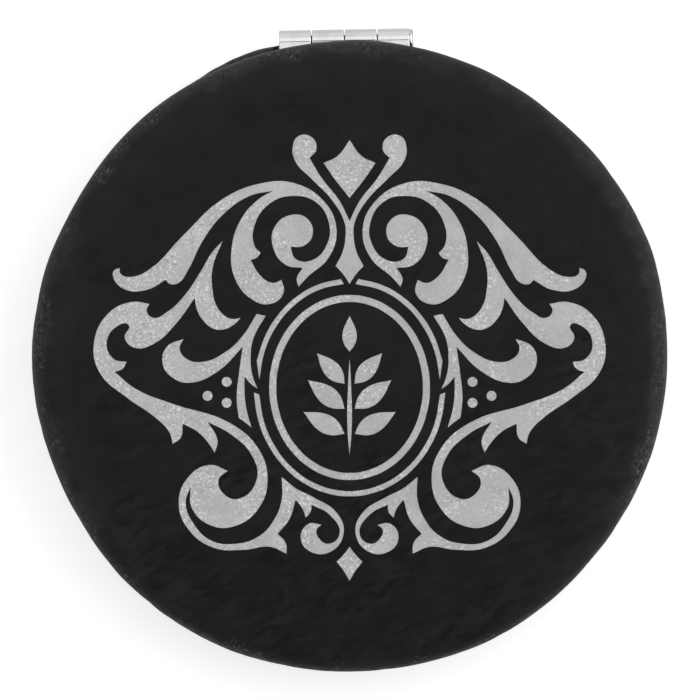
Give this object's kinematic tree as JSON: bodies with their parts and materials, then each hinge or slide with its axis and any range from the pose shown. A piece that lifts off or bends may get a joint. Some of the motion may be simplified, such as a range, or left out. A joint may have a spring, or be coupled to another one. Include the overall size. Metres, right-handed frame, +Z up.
{
  "type": "compact mirror",
  "caption": "Round folding compact mirror in black leatherette with a silver scroll ornament on the lid, a rolled metal hinge, and a flat and a magnifying mirror inside.",
  "frame": {"origin": "middle of the base's flat underside, with the compact shut", "axes": "+Z up from the base through the lid, +Y towards the hinge, +X to the right as the ornament is seen from above"},
  "size_m": [0.0634, 0.0646, 0.0117],
  "materials": {
    "leatherette": "matt black, softly creased",
    "ornament_silver": "satin silver layer under the black",
    "foam": "fine open foam",
    "core_plastic": "moulded",
    "hinge_chrome": "bright plated",
    "rivet_steel": "plain",
    "magnet_nickel": "nickel plated",
    "packing_card": "grey board",
    "mirror_tape": "adhesive tape",
    "mirror": "silvered glass"
  },
  "bodies": {
    "base": {"base_leatherette": "leatherette", "base_foam_pad": "foam", "base_core": "core_plastic", "base_hinge_leaf": "hinge_chrome", "base_hinge_rivets": "rivet_steel", "base_magnet": "magnet_nickel", "base_packing_ring": "packing_card", "base_mirror_tape": "mirror_tape", "base_mirror": "mirror", "hinge_pin": "hinge_chrome"},
    "lid": {"lid_leatherette": "leatherette", "lid_foam_pad": "foam", "lid_core": "core_plastic", "lid_hinge_leaf": "hinge_chrome", "lid_hinge_rivets": "rivet_steel", "lid_magnet": "magnet_nickel", "lid_packing_card": "packing_card", "lid_mirror_tape": "mirror_tape", "lid_mirror": "mirror"}
  },
  "joints": [
    {"name": "lid_hinge", "type": "hinge", "parent": "base", "child": "lid", "pos_m": [0, 0.03168, 0.00585], "axis": [-1, 0, 0], "range_deg": [0, 170]}
  ]
}
